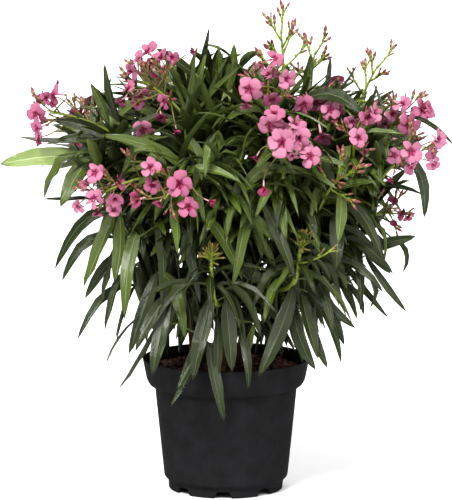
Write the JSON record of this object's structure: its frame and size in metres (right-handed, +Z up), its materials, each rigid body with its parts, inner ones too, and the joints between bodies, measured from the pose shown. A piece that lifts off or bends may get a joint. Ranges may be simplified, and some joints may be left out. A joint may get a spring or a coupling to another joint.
{
  "type": "potted oleander shrub",
  "caption": "Bushy oleander in a round nursery pot: upright canes fork into leafy shoots with long narrow leaves, topped by clusters of pink flowers.",
  "frame": {"origin": "middle of the pot's underside, on the floor", "axes": "+Z up along the pot's axis, +X to the right as seen from the front, +Y to the back; the front, which carries the side shown, faces -Y"},
  "size_m": [0.6129, 0.5282, 0.7012],
  "materials": {
    "pot_plastic": "matte moulded black plastic, very dark grey, with a soft wide highlight",
    "potting_soil": "coarse reddish brown peat and bark, matte",
    "cane_bark": "thin reddish brown to grey-brown bark, fine lengthwise ridges and small pores",
    "bough_bark": "young bark, green shading to brown towards the cane",
    "foliage": "dark satin green leaves with pale midribs, yellow-green young tips and stalks, pink flowers and buds"
  },
  "bodies": {
    "root": {"bough_back_left": "bough_bark", "bough_back_left_high": "bough_bark", "bough_back_left_low": "bough_bark", "bough_back_middle": "bough_bark", "bough_back_right": "bough_bark", "bough_back_right_high": "bough_bark", "bough_back_right_low": "bough_bark", "bough_back_top": "bough_bark", "bough_centre_front": "bough_bark", "bough_centre_high": "bough_bark", "bough_front_left": "bough_bark", "bough_front_middle": "bough_bark", "bough_front_right": "bough_bark", "bough_left_far": "bough_bark", "bough_left_front": "bough_bark", "bough_left_low": "bough_bark", "bough_left_upper": "bough_bark", "bough_right_far": "bough_bark", "bough_right_high": "bough_bark", "bough_right_low": "bough_bark", "bough_right_mid": "bough_bark", "bough_right_small": "bough_bark", "bough_top_left": "bough_bark", "bough_top_middle": "bough_bark", "cane_back_left": "cane_bark", "cane_back_right": "cane_bark", "cane_front": "cane_bark", "cane_left": "cane_bark", "cane_middle": "cane_bark", "cane_right": "cane_bark", "foliage_back_left": "foliage", "foliage_back_left_high": "foliage", "foliage_back_left_low": "foliage", "foliage_back_middle": "foliage", "foliage_back_right": "foliage", "foliage_back_right_high": "foliage", "foliage_back_right_low": "foliage", "foliage_back_top": "foliage", "foliage_centre_front": "foliage", "foliage_centre_high": "foliage", "foliage_front_left": "foliage", "foliage_front_middle": "foliage", "foliage_front_right": "foliage", "foliage_left_far": "foliage", "foliage_left_front": "foliage", "foliage_left_low": "foliage", "foliage_left_upper": "foliage", "foliage_right_far": "foliage", "foliage_right_high": "foliage", "foliage_right_low": "foliage", "foliage_right_mid": "foliage", "foliage_right_small": "foliage", "foliage_top_left": "foliage", "foliage_top_middle": "foliage", "pot": "pot_plastic", "soil": "potting_soil"}
  },
  "joints": []
}
